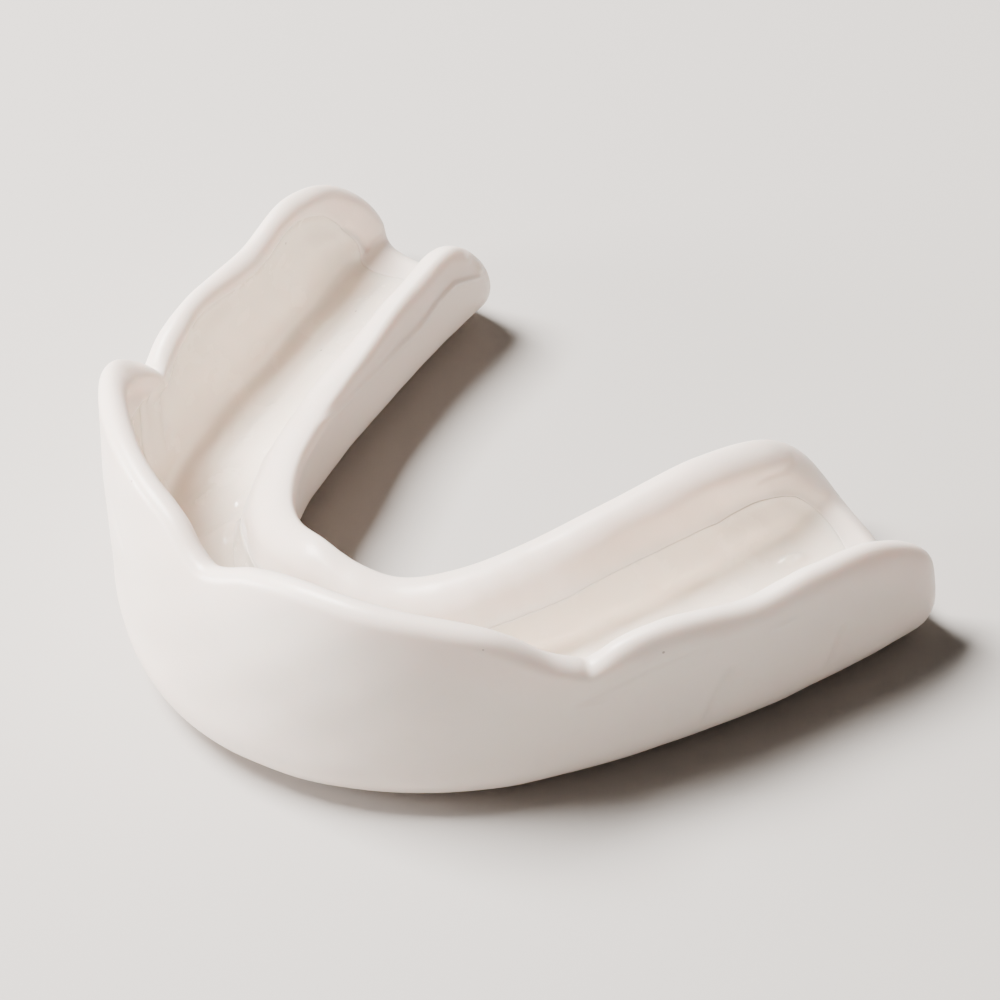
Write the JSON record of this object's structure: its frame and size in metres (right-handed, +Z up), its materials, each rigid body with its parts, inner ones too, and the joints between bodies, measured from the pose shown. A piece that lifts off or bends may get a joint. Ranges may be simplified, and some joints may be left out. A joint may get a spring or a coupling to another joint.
{
  "type": "mouthguard",
  "caption": "Upper-arch boil-and-bite mouthguard: firm U-shaped trough shell with a rounded, notched rim and a softer bonded liner in its tooth channel.",
  "frame": {"origin": "centre of the bounding box in X and Y, on the plane the flat underside rests on", "axes": "+Z up out of the tooth channel, -Y towards the labial front, +Y towards the open rear ends of the legs, X across the arch"},
  "size_m": [0.068, 0.05, 0.0208],
  "materials": {
    "shell": "satin off-white EVA copolymer, slightly translucent",
    "liner": "glossy cream EVA copolymer, softer grade, slightly translucent"
  },
  "bodies": {
    "root": {"outer_shell": "shell", "inner_liner": "liner"}
  },
  "joints": []
}
